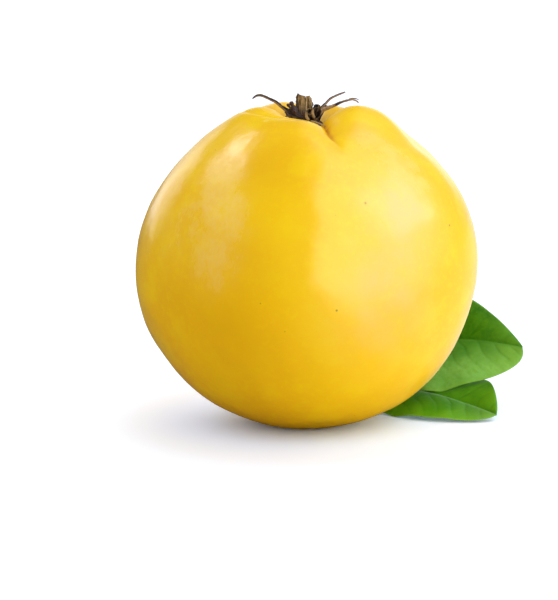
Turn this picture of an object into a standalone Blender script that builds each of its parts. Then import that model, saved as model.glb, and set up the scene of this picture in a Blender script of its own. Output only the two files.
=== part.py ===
"""A ripe quince as picked: the yellow fruit, the dried flower parts in its top, and a short leafy twig.

The fruit stands on a small flat spot beside its stem cavity, with the dried calyx up.
Lengths are in metres and +Z is up. The origin is the middle of the flat spot.
Azimuths are counted from +X towards +Y, and polar angles from straight up.
"""

import math

import bmesh
import bpy
from mathutils import Matrix, Vector
from mathutils.geometry import interpolate_bezier

MM = 0.001
DEG = math.pi / 180

# The fruit: two half ellipsoids that meet at the girth.
GIRTH_RADIUS = 47.8 * MM
GIRTH_HEIGHT = 45.5 * MM
CROWN_RISE = 44.1 * MM
BASE_DROP = 46.6 * MM

# The swollen ring round the calyx basin, and how high each lobe stands on it.
CROWN_SWELL = 2.0 * MM
CROWN_POLAR = 20 * DEG
CROWN_REACH = 14 * DEG
# (azimuth, half width, height as a share of the swell)
CROWN_LOBES = (
    (-112 * DEG, 38 * DEG, 0.5),
    (-12 * DEG, 34 * DEG, 0.6),
    (52 * DEG, 30 * DEG, 0.25),
    (122 * DEG, 30 * DEG, 0.85),
    (-168 * DEG, 32 * DEG, 0.9),
)

# Creases that run from the basin down between the lobes: (azimuth, half width, depth).
CREASE_POLAR = 17 * DEG
CREASE_REACH = 13 * DEG
CREASES = (
    (-66 * DEG, 13 * DEG, 1.7 * MM),
    (168 * DEG, 12 * DEG, 1.0 * MM),
    (24 * DEG, 16 * DEG, 0.9 * MM),
    (88 * DEG, 12 * DEG, 0.7 * MM),
)

# The basin that holds the dried calyx.
BASIN_DEPTH = 8.0 * MM
BASIN_REACH = 0.17
BASIN_STEEPNESS = 2.4

# Broad ribs below the lobes, strongest at the girth.
RIB_COUNT = 5
RIB_HEIGHT = 0.35 * MM
RIB_AZIMUTH = -90 * DEG

# Broad swells and flats that make the fruit uneven: (polar, azimuth, reach, height).
SWELLS = (
    (26 * DEG, -8 * DEG, 12 * DEG, 1.8 * MM),
    (64 * DEG, 0 * DEG, 20 * DEG, 0.4 * MM),
    (62 * DEG, 180 * DEG, 24 * DEG, -0.5 * MM),
    (104 * DEG, 180 * DEG, 22 * DEG, 0.6 * MM),
    (110 * DEG, 0 * DEG, 20 * DEG, -0.6 * MM),
    (142 * DEG, -20 * DEG, 18 * DEG, 0.5 * MM),
    (138 * DEG, -150 * DEG, 22 * DEG, 0.5 * MM),
)

# The stem cavity, off to the back so that the fruit stands beside it.
STEM_POLAR = 151 * DEG
STEM_AZIMUTH = 73 * DEG
STEM_DEPTH = 9.0 * MM
STEM_REACH = 0.17
STEM_RIM_SWELL = 0.9 * MM
STEM_RIM_ANGLE = 0.38
STEM_RIM_REACH = 0.16
STEM_RIM_LOBES = 5
STEM_RIM_UNEVENNESS = 0.4

SEGMENTS = 56
RINGS = 34
RING_CROWDING = 0.075

# Neighbours that touch in the real fruit stay this far apart here.
JOIN_GAP = 0.5 * MM

# The dry woody cup on the floor of the basin. Its edge keeps a share of its thickness.
CUP_POLAR = 5.6 * DEG
CUP_THICKNESS = 1.4 * MM
CUP_EDGE_SHARE = 0.15
CUP_SEGMENTS = 28
CUP_RINGS = 4

# How finely the thin pieces are divided, round a stem, across half a blade and along a spine.
ROUND_SIDES = 8
SEPAL_HALF_STEPS = 3
LEAF_HALF_STEPS = 5
SPINE_STEPS = 3

# The first corner of a round stem's rings points away from this direction, which no stem runs along.
ROUND_REFERENCE = (0.3, 1.0, 0.2)

# A blade's edge is thinner than its middle by this share.
EDGE_THINNING = 0.55

# Dried sepals: (name, spine points, half widths at those points, direction of the right-hand side).
# All lengths in the tables below are in millimetres.
SEPAL_THICKNESS = 0.5
SEPALS = (
    (
        "sepal_left",
        ((-3.4, 0.6, 85.5), (-6.4, 0.8, 87.5), (-9.2, 1.2, 89.8), (-12.8, 1.6, 92.0), (-15.4, 1.8, 91.4)),
        (0.9, 0.8, 0.55, 0.4, 0.2),
        (0.1, 1.0, 0.1),
    ),
    (
        "sepal_upright",
        ((-0.6, 1.0, 85.2), (-0.6, 0.7, 88.0), (-0.7, 0.2, 91.0), (-0.8, -0.4, 93.3)),
        (1.5, 2.2, 2.3, 1.8),
        (1.0, 0.0, 0.0),
    ),
    (
        "sepal_right_back",
        ((2.6, 1.9, 85.9), (5.4, 3.0, 89.9), (6.8, 3.4, 91.2), (10.8, 4.0, 93.2)),
        (0.7, 0.5, 0.4, 0.2),
        (0.1, 1.0, 0.0),
    ),
    (
        "sepal_right_front",
        ((3.1, -0.4, 86.2), (4.2, -0.6, 89.0), (7.5, -0.8, 90.4), (11.4, -0.8, 92.0), (14.5, -0.8, 91.3)),
        (1.1, 1.0, 0.7, 0.45, 0.2),
        (0.1, 1.0, 0.2),
    ),
    (
        "sepal_front",
        ((1.9, -1.9, 85.4), (2.1, -2.9, 87.2), (2.0, -3.6, 88.9), (1.7, -3.7, 90.2)),
        (1.1, 1.7, 1.8, 1.2),
        (1.0, 0.1, 0.0),
    ),
)

# Dried styles and stamens: (spine points, radii at those points).
STYLE_RADII = (0.35, 0.3, 0.3)
STYLES = (
    ((-1.6, -0.5, 84.7), (-1.9, -1.1, 86.6), (-2.4, -1.6, 88.3)),
    ((0.3, -1.0, 84.7), (0.2, -1.7, 86.6), (-0.2, -2.3, 88.2)),
    ((1.5, 1.6, 85.1), (1.9, 2.2, 87.2), (2.3, 2.6, 89.2)),
    ((-0.6, 2.3, 85.2), (-0.6, 2.9, 87.3), (-0.9, 3.3, 89.5)),
    ((-2.2, 2.2, 85.4), (-2.8, 2.7, 87.4), (-3.6, 3.0, 89.2)),
)
STAMENS = (
    (((-3.6, -0.9, 86.2), (-4.4, -1.0, 88.6), (-4.5, -1.1, 90.8)), (0.3, 0.5, 0.7)),
    (((-2.6, -2.4, 86.1), (-3.2, -3.1, 87.6), (-3.5, -3.4, 89.0)), (0.3, 0.35, 0.5)),
    (((-0.5, -3.2, 86.2), (-0.8, -4.0, 87.6), (-1.0, -4.3, 88.9)), (0.3, 0.35, 0.5)),
    (((3.7, 0.9, 86.7), (4.7, 1.2, 88.3), (5.7, 1.4, 89.5)), (0.3, 0.35, 0.5)),
    (((0.9, 3.5, 86.3), (1.2, 4.4, 88.2), (1.4, 4.9, 90.0)), (0.3, 0.35, 0.5)),
    (((-3.6, 2.6, 86.6), (-4.6, 3.1, 88.4), (-5.5, 3.4, 89.8)), (0.3, 0.35, 0.5)),
)

# The twig grows out of the stem cavity and leaves under the back of the fruit.
TWIG_SPINE = (
    (5.6, 18.4, 11.5),
    (6.4, 20.8, 7.6),
    (8.6, 25.0, 5.1),
    (12.0, 30.0, 4.9),
    (16.0, 35.5, 6.6),
    (20.5, 41.0, 9.6),
)
TWIG_RADII = (1.9, 1.6, 1.6, 1.8, 1.7, 1.45)

# Leaves: the petiole and midrib as one spine, the blade's two halves on either side.
PETIOLE_RADIUS = 0.7
LEAF_THICKNESS = 0.55
LEAVES = (
    {
        "name": "leaf_upper",
        "petiole": ((16.3, 32.6, 7.2), (20.0, 32.2, 9.8)),
        "midrib": (
            (23.5, 31.6, 12.6),
            (33.0, 28.0, 16.8),
            (42.0, 24.4, 18.4),
            (51.0, 20.4, 18.9),
            (62.2, 16.4, 17.2),
        ),
        "front": {
            "base_side": (0.0, -0.9, -0.44),
            "tip_side": (0.0, -0.7, -0.72),
            "width": 19.0,
            "widest": 0.55,
            "bluntness": 0.55,
        },
        "back": {
            "base_side": (0.0, 0.46, 0.89),
            "tip_side": (0.0, 0.46, 0.89),
            "width": 14.0,
            "widest": 0.42,
            "bluntness": 0.9,
        },
    },
    {
        "name": "leaf_lower",
        "petiole": ((11.9, 26.2, 4.7), (16.0, 23.0, 4.1)),
        "midrib": (
            (20.5, 19.5, 4.7),
            (28.5, 14.6, 5.9),
            (36.5, 9.8, 5.5),
            (46.0, 4.5, 3.6),
            (53.7, -0.4, 1.7),
        ),
        "front": {
            "base_side": (0.0, -0.92, -0.38),
            "tip_side": (0.0, -0.95, -0.3),
            "width": 12.6,
            "widest": 0.42,
            "bluntness": 0.5,
        },
        "back": {
            "base_side": (0.0, 0.99, 0.05),
            "tip_side": (0.0, 0.76, 0.65),
            "width": 13.4,
            "widest": 0.45,
            "bluntness": 0.75,
        },
    },
)

COLOURS = {
    "skin": ((0.87, 0.60, 0.03, 1.0), 0.42),
    "dried_calyx": ((0.11, 0.065, 0.035, 1.0), 0.85),
    "bark": ((0.16, 0.11, 0.06, 1.0), 0.8),
    "leaf": ((0.07, 0.24, 0.02, 1.0), 0.45),
}


def clear_scene():
    for obj in list(bpy.data.objects):
        bpy.data.objects.remove(obj)


def make_material(name):
    colour, roughness = COLOURS[name]
    material = bpy.data.materials.new(name)
    material.use_nodes = True
    shader = material.node_tree.nodes["Principled BSDF"]
    shader.inputs["Base Color"].default_value = colour
    shader.inputs["Roughness"].default_value = roughness
    shader.inputs["Metallic"].default_value = 0.0
    return material


def add_object(name, bm, material):
    """Turns a closed bmesh, given in world places, into an object whose origin is the row's origin."""
    bmesh.ops.recalc_face_normals(bm, faces=bm.faces)
    mesh = bpy.data.meshes.new(name)
    bm.to_mesh(mesh)
    bm.free()
    mesh.shade_smooth()
    mesh.materials.append(material)
    obj = bpy.data.objects.new(name, mesh)
    bpy.context.scene.collection.objects.link(obj)
    return obj


def hump(distance, reach):
    """A smooth hill of height 1 that fades out over the given reach."""
    return math.exp(-((distance / reach) ** 2))


def turn_between(first, second):
    """The angle from one azimuth to another, the short way round."""
    return math.remainder(first - second, math.tau)


def direction(polar, azimuth):
    level = math.sin(polar)
    return Vector((level * math.cos(azimuth), level * math.sin(azimuth), math.cos(polar)))


STEM_DIRECTION = direction(STEM_POLAR, STEM_AZIMUTH)


def crown_height(polar, azimuth):
    """The swollen, lobed ring round the basin, less the creases between the lobes."""
    lobes = sum(share * hump(turn_between(azimuth, middle), width) for middle, width, share in CROWN_LOBES)
    creases = sum(depth * hump(turn_between(azimuth, middle), width) for middle, width, depth in CREASES)
    ring = CROWN_SWELL * lobes * hump(polar - CROWN_POLAR, CROWN_REACH)
    return ring - creases * hump(polar - CREASE_POLAR, CREASE_REACH)


def stem_height(way):
    """The stem cavity and the low lobed rim round it."""
    angle = way.angle(STEM_DIRECTION)
    around = math.atan2(way.y - STEM_DIRECTION.y, way.x - STEM_DIRECTION.x)
    lobed = 1.0 + STEM_RIM_UNEVENNESS * math.cos(STEM_RIM_LOBES * around)
    rim = STEM_RIM_SWELL * lobed * hump(angle - STEM_RIM_ANGLE, STEM_RIM_REACH)
    return rim - STEM_DEPTH * hump(angle, STEM_REACH)


def swell_height(way):
    return sum(
        height * hump(way.angle(direction(polar, azimuth)), reach)
        for polar, azimuth, reach, height in SWELLS
    )


def fruit_radius(way):
    """Distance from the middle of the girth to the skin, along a unit direction."""
    polar = way.angle(Vector((0, 0, 1)), 0.0)
    azimuth = math.atan2(way.y, way.x)
    half_height = CROWN_RISE if way.z > 0 else BASE_DROP
    level = math.sin(polar) / GIRTH_RADIUS
    upright = math.cos(polar) / half_height
    radius = 1.0 / math.hypot(level, upright)
    radius += crown_height(polar, azimuth) + stem_height(way) + swell_height(way)
    radius += RIB_HEIGHT * math.sin(polar) ** 2 * math.cos(RIB_COUNT * (azimuth - RIB_AZIMUTH))
    return radius - BASIN_DEPTH * math.exp(-((polar / BASIN_REACH) ** BASIN_STEEPNESS))


def skin_point(way, lift=0.0):
    point = way * (fruit_radius(way) + lift)
    point.z = max(point.z + GIRTH_HEIGHT, 0.0)
    return point


def grid_direction(ring, segment):
    """Directions of the skin's grid, whose lower pole is turned to the middle of the stem cavity."""
    share = ring / RINGS
    polar = math.pi * (share - RING_CROWDING * math.sin(math.tau * share))
    below = max(0.0, polar / (math.pi / 2) - 1.0)
    turn = (math.pi - STEM_POLAR) * below * below * (3.0 - 2.0 * below)
    axis = Vector((0, 0, -1)).cross(STEM_DIRECTION).normalized()
    return Matrix.Rotation(turn, 3, axis) @ direction(polar, math.tau * segment / SEGMENTS)


def merge_flat_spot(bm):
    """Makes the skin that lies on the ground one flat fan of faces round the origin."""
    flat = [face for face in bm.faces if all(vert.co.z == 0.0 for vert in face.verts)]
    bmesh.ops.dissolve_faces(bm, faces=flat, use_verts=True)
    spot = [face for face in bm.faces if all(vert.co.z == 0.0 for vert in face.verts)]
    middle = bmesh.ops.poke(bm, faces=spot)["verts"][0]
    middle.co = (0.0, 0.0, 0.0)


def build_fruit(material):
    bm = bmesh.new()
    top = bm.verts.new(skin_point(grid_direction(0, 0)))
    bottom = bm.verts.new(skin_point(grid_direction(RINGS, 0)))
    rows = [
        [bm.verts.new(skin_point(grid_direction(ring, segment))) for segment in range(SEGMENTS)]
        for ring in range(1, RINGS)
    ]
    for segment in range(SEGMENTS):
        after = (segment + 1) % SEGMENTS
        bm.faces.new((top, rows[0][segment], rows[0][after]))
        bm.faces.new((bottom, rows[-1][after], rows[-1][segment]))
        for upper, lower in zip(rows, rows[1:]):
            bm.faces.new((upper[segment], lower[segment], lower[after], upper[after]))
    merge_flat_spot(bm)
    return add_object("fruit", bm, material)


def loft(rings):
    """A closed solid through rings that all have the same number of points."""
    bm = bmesh.new()
    loops = [[bm.verts.new(point) for point in ring] for ring in rings]
    count = len(loops[0])
    for first, second in zip(loops, loops[1:]):
        for index in range(count):
            after = (index + 1) % count
            bm.faces.new((first[index], first[after], second[after], second[index]))
    caps = [bm.faces.new(loops[0]), bm.faces.new(loops[-1])]
    bmesh.ops.triangulate(bm, faces=caps)
    return bm


def smooth_line(points, steps):
    """Points on one Catmull-Rom curve through the given ones, with this many steps between each two."""
    knots = [Vector(point) for point in points]
    last = len(knots) - 1
    slopes = [(knots[min(i + 1, last)] - knots[max(i - 1, 0)]) / 6 for i in range(last + 1)]
    line = [knots[0]]
    for i in range(last):
        stretch = interpolate_bezier(
            knots[i], knots[i] + slopes[i], knots[i + 1] - slopes[i + 1], knots[i + 1], steps + 1
        )
        line += stretch[1:]
    return line


def smooth_values(values, steps):
    """The same curve for single numbers, such as a radius at each point."""
    return [point.x for point in smooth_line([(value, 0, 0) for value in values], steps)]


def tangents(line):
    last = len(line) - 1
    return [(line[min(i + 1, last)] - line[max(i - 1, 0)]).normalized() for i in range(last + 1)]


def round_solid(points, radii):
    """A round stem along a smooth curve, in millimetres."""
    line = smooth_line(points, SPINE_STEPS)
    widths = smooth_values(radii, SPINE_STEPS)
    rings = []
    for middle, along, radius in zip(line, tangents(line), widths):
        side = along.cross(Vector(ROUND_REFERENCE)).normalized()
        other = along.cross(side)
        turns = [math.tau * index / ROUND_SIDES for index in range(ROUND_SIDES)]
        ring = [middle + radius * (math.cos(turn) * side + math.sin(turn) * other) for turn in turns]
        rings.append([point * MM for point in ring])
    return loft(rings)


def blade_ring(middle, along, front, back, widths, thickness, half_steps):
    """One cross-section of a thin blade, along its top from the front edge and back along its underside."""
    up_front = along.cross(front).normalized()
    up_back = back.cross(along).normalized()
    top = []
    under = []
    for step in range(-half_steps, half_steps + 1):
        share = abs(step) / half_steps
        side, width, up = (front, widths[0], up_front) if step < 0 else (back, widths[1], up_back)
        if step == 0:
            up = (up_front + up_back).normalized()
        level = middle + side * width * share
        half = up * thickness / 2 * (1.0 - EDGE_THINNING * share)
        top.append((level + half) * MM)
        under.append((level - half) * MM)
    return top + under[::-1]


def square_to(side, along):
    """The direction nearest to the given side that is square to the spine."""
    side = Vector(side)
    return (side - along * side.dot(along)).normalized()


def build_cup(material):
    """A thin dry cap that follows the floor of the basin, thickest in its middle."""
    def cap_point(ring, segment, lift):
        way = direction(CUP_POLAR * ring / CUP_RINGS, math.tau * segment / CUP_SEGMENTS)
        return skin_point(way, lift)

    def ring_points(ring, lift):
        return [cap_point(ring, segment, lift) for segment in range(CUP_SEGMENTS)]

    rings = [ring_points(ring, JOIN_GAP) for ring in range(1, CUP_RINGS + 1)]
    for ring in range(CUP_RINGS, 0, -1):
        share = ring / CUP_RINGS
        rings.append(ring_points(ring, JOIN_GAP + CUP_THICKNESS * (1.0 + CUP_EDGE_SHARE - share * share)))
    return add_object("calyx_cup", loft(rings), material)


def build_sepal(name, points, half_widths, side, material):
    line = smooth_line(points, SPINE_STEPS)
    widths = smooth_values(half_widths, SPINE_STEPS)
    rings = []
    for middle, along, width in zip(line, tangents(line), widths):
        across = square_to(side, along)
        rings.append(
            blade_ring(middle, along, -across, across, (width, width), SEPAL_THICKNESS, SEPAL_HALF_STEPS)
        )
    return add_object(name, loft(rings), material)


def half_blade_width(half, share):
    """Width of one half of an oval blade, at a share of the way from its base to its tip."""
    power = math.log(0.5) / math.log(half["widest"])
    oval = half["width"] * max(math.sin(math.pi * share**power), 0.0) ** half["bluntness"]
    return max(PETIOLE_RADIUS, oval)


def blade_side(half, share):
    """The way in which one half of a blade spreads, which turns from its base to its tip."""
    return Vector(half["base_side"]).lerp(Vector(half["tip_side"]), share)


def build_leaf(leaf, material):
    stalk = smooth_line(leaf["petiole"], SPINE_STEPS)
    midrib = smooth_line(leaf["midrib"], 2 * SPINE_STEPS)
    line = stalk + midrib
    rings = []
    for index, (middle, along) in enumerate(zip(line, tangents(line))):
        share = max(0.0, (index - len(stalk)) / (len(midrib) - 1))
        front = square_to(blade_side(leaf["front"], share), along)
        back = square_to(blade_side(leaf["back"], share), along)
        widths = (half_blade_width(leaf["front"], share), half_blade_width(leaf["back"], share))
        thickness = LEAF_THICKNESS if share > 0 else 2 * PETIOLE_RADIUS
        rings.append(blade_ring(middle, along, front, back, widths, thickness, LEAF_HALF_STEPS))
    return add_object(leaf["name"], loft(rings), material)


def main():
    clear_scene()
    skin = make_material("skin")
    dried = make_material("dried_calyx")
    bark = make_material("bark")
    green = make_material("leaf")
    build_fruit(skin)
    build_cup(dried)
    for name, points, half_widths, side in SEPALS:
        build_sepal(name, points, half_widths, side, dried)
    for number, points in enumerate(STYLES, 1):
        add_object(f"style_{number}", round_solid(points, STYLE_RADII), dried)
    for number, (points, radii) in enumerate(STAMENS, 1):
        add_object(f"stamen_{number}", round_solid(points, radii), dried)
    add_object("twig", round_solid(TWIG_SPINE, TWIG_RADII), bark)
    for leaf in LEAVES:
        build_leaf(leaf, green)


main()
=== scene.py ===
"""The looks of the quince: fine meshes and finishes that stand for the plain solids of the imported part.

The camera looks along +Y, so +X is its right. Places are in the part's frame, with +Z up. Tables give
millimetres and degrees, and meshes are turned into metres when they are made.
"""
import math

import bmesh
import bpy
import numpy as np
from mathutils import Matrix, Vector, noise


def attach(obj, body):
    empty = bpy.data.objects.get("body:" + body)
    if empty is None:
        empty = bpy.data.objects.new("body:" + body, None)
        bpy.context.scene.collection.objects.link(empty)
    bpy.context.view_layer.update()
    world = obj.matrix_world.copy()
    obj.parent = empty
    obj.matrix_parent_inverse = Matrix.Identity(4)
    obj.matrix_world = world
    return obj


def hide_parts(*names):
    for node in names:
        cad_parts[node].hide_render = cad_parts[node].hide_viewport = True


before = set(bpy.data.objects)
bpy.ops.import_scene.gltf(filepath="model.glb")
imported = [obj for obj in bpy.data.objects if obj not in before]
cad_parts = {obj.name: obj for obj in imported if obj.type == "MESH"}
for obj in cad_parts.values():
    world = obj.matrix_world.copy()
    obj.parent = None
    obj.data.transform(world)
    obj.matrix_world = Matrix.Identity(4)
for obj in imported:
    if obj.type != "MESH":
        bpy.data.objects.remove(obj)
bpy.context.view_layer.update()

MM = 0.001
BODY = "root"

# The fruit's own shape, as in the part: two half ellipsoids that meet at the girth, with lobes and hollows.
GIRTH_RADIUS = 47.8
GIRTH_HEIGHT = 45.5
CROWN_RISE = 44.1
BASE_DROP = 46.6
CROWN_SWELL = 2.0
CROWN_POLAR = 20
CROWN_REACH = 14
# (azimuth, half width, height as a share of the swell)
CROWN_LOBES = ((-112, 38, 0.5), (-12, 34, 0.6), (52, 30, 0.25), (122, 30, 0.85), (-168, 32, 0.9))
CREASE_POLAR = 17
CREASE_REACH = 13
# (azimuth, half width, depth)
CREASES = ((-66, 13, 1.7), (168, 12, 1.0), (24, 16, 0.9), (88, 12, 0.7))
BASIN_DEPTH = 8.0
BASIN_REACH = 0.17
BASIN_STEEPNESS = 2.4
RIB_COUNT = 5
RIB_HEIGHT = 0.35
RIB_AZIMUTH = -90
# (polar, azimuth, reach, height)
SWELLS = (
    (26, -8, 12, 1.8),
    (64, 0, 20, 0.4),
    (62, 180, 24, -0.5),
    (104, 180, 22, 0.6),
    (110, 0, 20, -0.6),
    (142, -20, 18, 0.5),
    (138, -150, 22, 0.5),
)
STEM_POLAR = 151
STEM_AZIMUTH = 73
STEM_DEPTH = 9.0
STEM_REACH = 0.17
STEM_RIM_SWELL = 0.9
STEM_RIM_ANGLE = 0.38
STEM_RIM_REACH = 0.16
STEM_RIM_LOBES = 5
STEM_RIM_UNEVENNESS = 0.4

# Fine relief of the skin, which only the looks have.
# Lower places on the lip of the basin and on the right shoulder: (polar, azimuth, reach, depth).
DIPS = (
    (14, -74, 7, 1.5),
    (14, -96, 7, 0.3),
    (15, -122, 8, 0.9),
    (26, -75, 6, 0.4),
    (40, -4, 9, 0.9),
)
# How round the bottom of a fold is, as a share of its half width.
FOLD_ROUNDING = 0.2
# Folds that run out of the basin: (half width, how strong their painted shade is, points of (polar, azimuth,
# depth)).
FOLDS = (
    (0.7, 1.0, (
        (7, -46, 0.2), (12, -57, 0.9), (18, -66, 1.2), (24, -71, 1.2),
        (30, -72, 0.8), (36, -71, 0.25), (41, -71, 0),
    )),
    (2.8, 0.2, ((12, -60, 0.2), (20, -68, 0.6), (27, -71, 0.9), (33, -71, 0.7), (41, -70, 0))),
    (0.5, 1.7, ((7, 178, 0.2), (11, 173, 0.7), (18, 168, 0.8), (26, 166, 0.4), (36, 165, 0))),
    (2.4, 0.6, (
        (16.5, -106, 0), (17.9, -119, 0.8), (19, -133, 0.6),
        (20.4, -147, 0.5), (22.5, -165, 0.4), (24, -176, 0),
    )),
    (0.8, 0.8, ((7, 30, 0.2), (12, 26, 0.6), (20, 23, 0.5), (32, 22, 0.2), (44, 22, 0))),
    (0.8, 0.8, ((7, 92, 0.1), (12, 88, 0.5), (20, 86, 0.35), (30, 86, 0))),
)
# Fine puckers round the basin.
PUCKER_COUNT = 23
PUCKER_POLAR = 8.5
PUCKER_REACH = 3.5
PUCKER_HEIGHT = 0.04
# Unevenness of the skin: (size of its hills, height).
UNEVENNESS = ((17.0, 0.42), (7.0, 0.12), (2.6, 0.03))
FRUIT_RINGS = 236
FRUIT_SEGMENTS = 400
# The rings of the skin stop short of its poles, and are closer to one another near them.
POLE_GAP = 0.004
RING_CROWDING = 0.075

# Where the skin has downy bloom with painted sheen, a deeper gold with painted shade, and a paler gold as a
# painted
# highlight: (polar, azimuth, reach, strength).
SKIN_PATCHES = {
    "bloom": (
        # The first bloom spot, on the basin's lip, is a painted highlight.
        (23.4, -128, 1.0, 1.0), (46, -133, 7, 0.6), (53, -128, 8, 0.7), (61, -125, 9, 0.6),
        (69, -120, 9, 0.6), (79, -120, 8, 0.5), (87, -122, 8, 0.4), (74, -137, 15, 0.45),
        (58, 150, 22, 0.4), (36, -51, 6, 0.6), (46, -43, 9, 0.8), (55, -38, 7, 0.6),
    ),
    # Deeper gold patches down the left front: uneven colour and painted shade.
    "deeper": ((46, -112, 12, 0.6), (77, -112, 12, 0.35), (104, -115, 20, 0.6)),
    # Paler patches under the highlights on the right: painted highlight.
    "paler": (
        (63, -52, 13, 1.0), (44, -45, 10, 0.25), (31, -49, 5, 0.5),
        (82, -62, 16, 0.5), (98, -62, 18, 0.6),
    ),
}
# Small dark marks: (polar, azimuth, radius).
MARKS = ((61, -67.5, 0.75), (72.5, -31.5, 0.65))


def hump(distance, reach):
    """A smooth hill of height 1 that fades out over the given reach."""
    return np.exp(-((distance / reach) ** 2))


def turn_between(first, second):
    """The angle from one azimuth to another, the short way round."""
    return (first - second + math.pi) % math.tau - math.pi


def direction(polar, azimuth):
    """Unit directions, from angles in radians or arrays of them."""
    polar, azimuth = np.broadcast_arrays(polar, azimuth)
    level = np.sin(polar)
    return np.stack([level * np.cos(azimuth), level * np.sin(azimuth), np.cos(polar)], axis=-1)


def round_turns(count):
    return np.linspace(0.0, math.tau, count, endpoint=False)


def grid(column, row):
    """Pairs of a value from the column and one from the row, or from a whole grid."""
    return np.stack(np.broadcast_arrays(column, row), axis=-1)


def aim(polar, azimuth):
    """One unit direction, from angles in degrees."""
    return direction(math.radians(polar), math.radians(azimuth))


def angle_to(ways, polar, azimuth):
    """The angle from each direction to the one that is given in degrees."""
    return np.arccos(np.clip(ways @ aim(polar, azimuth), -1.0, 1.0))


def polar_and_azimuth(ways):
    return np.arccos(np.clip(ways[..., 2], -1.0, 1.0)), np.arctan2(ways[..., 1], ways[..., 0])


def patches(ways, table):
    """The sum of soft round hills, from rows of (polar, azimuth, reach, height)."""
    return sum(
        height * hump(angle_to(ways, polar, azimuth), math.radians(reach))
        for polar, azimuth, reach, height in table
    )


def sectors(azimuth, table):
    """The sum of soft hills round the crown, from rows of (azimuth, half width, height)."""
    return sum(
        height * hump(turn_between(azimuth, math.radians(middle)), math.radians(half_width))
        for middle, half_width, height in table
    )


def crown_height(polar, azimuth):
    lip = hump(polar - math.radians(CROWN_POLAR), math.radians(CROWN_REACH))
    slope = hump(polar - math.radians(CREASE_POLAR), math.radians(CREASE_REACH))
    return CROWN_SWELL * sectors(azimuth, CROWN_LOBES) * lip - sectors(azimuth, CREASES) * slope


def stem_height(ways):
    """The stem cavity and its lobed rim."""
    stem = aim(STEM_POLAR, STEM_AZIMUTH)
    angle = angle_to(ways, STEM_POLAR, STEM_AZIMUTH)
    around = np.arctan2(ways[..., 1] - stem[1], ways[..., 0] - stem[0])
    lobed = 1.0 + STEM_RIM_UNEVENNESS * np.cos(STEM_RIM_LOBES * around)
    rim = STEM_RIM_SWELL * lobed * hump(angle - STEM_RIM_ANGLE, STEM_RIM_REACH)
    return rim - STEM_DEPTH * hump(angle, STEM_REACH)


def fruit_radius(ways):
    """Distance from the middle of the girth to the smooth skin, along unit directions."""
    polar, azimuth = polar_and_azimuth(ways)
    half_height = np.where(ways[..., 2] > 0, CROWN_RISE, BASE_DROP)
    radius = 1.0 / np.hypot(np.sin(polar) / GIRTH_RADIUS, np.cos(polar) / half_height)
    radius += crown_height(polar, azimuth) + stem_height(ways) + patches(ways, SWELLS)
    radius += RIB_HEIGHT * np.sin(polar) ** 2 * np.cos(RIB_COUNT * (azimuth - math.radians(RIB_AZIMUTH)))
    return radius - BASIN_DEPTH * np.exp(-((polar / BASIN_REACH) ** BASIN_STEEPNESS))


def fold_depths(polar, azimuth):
    """How deep the folds cut into the skin, and how strong the painted shade in them is."""
    depth, tint = 0.0, 0.0
    for half_width, shaded, points in FOLDS:
        polars, azimuths, depths = np.array(points, float).T
        middle = np.radians(np.interp(polar, np.radians(polars), azimuths))
        aside = turn_between(azimuth, middle) * np.sin(polar) * GIRTH_RADIUS
        here = np.interp(polar, np.radians(polars), depths, left=0.0, right=0.0)
        cut = here * np.exp(FOLD_ROUNDING - np.hypot(aside / half_width, FOLD_ROUNDING))
        depth = depth + cut
        tint = tint + shaded * cut
    return depth, tint


def uneven(ways, size):
    """Smooth noise from -1 to 1 on the skin, with hills of about the given size."""
    scale = GIRTH_RADIUS / size
    flat = [noise.noise(Vector(way) * scale) for way in ways.reshape(-1, 3)]
    return np.array(flat).reshape(ways.shape[:-1])


def skin_relief(ways):
    """The fine relief of the skin: folds, dips, puckers and unevenness."""
    polar, azimuth = polar_and_azimuth(ways)
    wander = 1.3 * np.sin(3 * azimuth) + 0.8 * np.sin(7 * azimuth + 1.0)
    puckers = PUCKER_HEIGHT * np.cos(PUCKER_COUNT * azimuth + wander)
    relief = puckers * hump(polar - math.radians(PUCKER_POLAR), math.radians(PUCKER_REACH))
    relief -= fold_depths(polar, azimuth)[0] + patches(ways, DIPS)
    for size, height in UNEVENNESS:
        relief += height * uneven(ways, size)
    return relief


def skin_points(ways, lift=0.0):
    """Places on the skin in millimetres, which stop at the ground."""
    points = ways * (fruit_radius(ways) + lift)[..., None]
    points[..., 2] = np.maximum(points[..., 2] + GIRTH_HEIGHT, 0.0)
    return points


def fruit_directions():
    """The grid of the skin, whose lower pole is turned to the middle of the stem cavity."""
    shares = np.linspace(POLE_GAP, 1.0 - POLE_GAP, FRUIT_RINGS)
    polars = math.pi * (shares - RING_CROWDING * np.sin(math.tau * shares))
    azimuths = round_turns(FRUIT_SEGMENTS)
    ways = direction(polars[:, None], azimuths)
    axis = Vector((0, 0, -1)).cross(Vector(aim(STEM_POLAR, STEM_AZIMUTH))).normalized()
    for ring, polar in enumerate(polars):
        below = max(0.0, polar / (math.pi / 2) - 1.0)
        turn = math.radians(180 - STEM_POLAR) * below * below * (3.0 - 2.0 * below)
        ways[ring] = ways[ring] @ np.array(Matrix.Rotation(turn, 3, axis)).T
    return ways


def smooth_line(points, count):
    """Points along one Catmull-Rom curve through the given ones."""
    knots = np.array(points, float).reshape(len(points), -1)
    knots = np.vstack([2 * knots[0] - knots[1], knots, 2 * knots[-1] - knots[-2]])
    place = np.linspace(0.0, len(points) - 1, count)
    index = np.minimum(place.astype(int), len(points) - 2)
    t = (place - index)[:, None]
    before, first, second, after = (knots[index + step] for step in range(4))
    linear = second - before
    square = 2 * before - 5 * first + 4 * second - after
    cube = 3 * first - before - 3 * second + after
    return first + 0.5 * (linear * t + square * t**2 + cube * t**3)


def smooth_values(values, count):
    return smooth_line(values, count)[:, 0]


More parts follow.
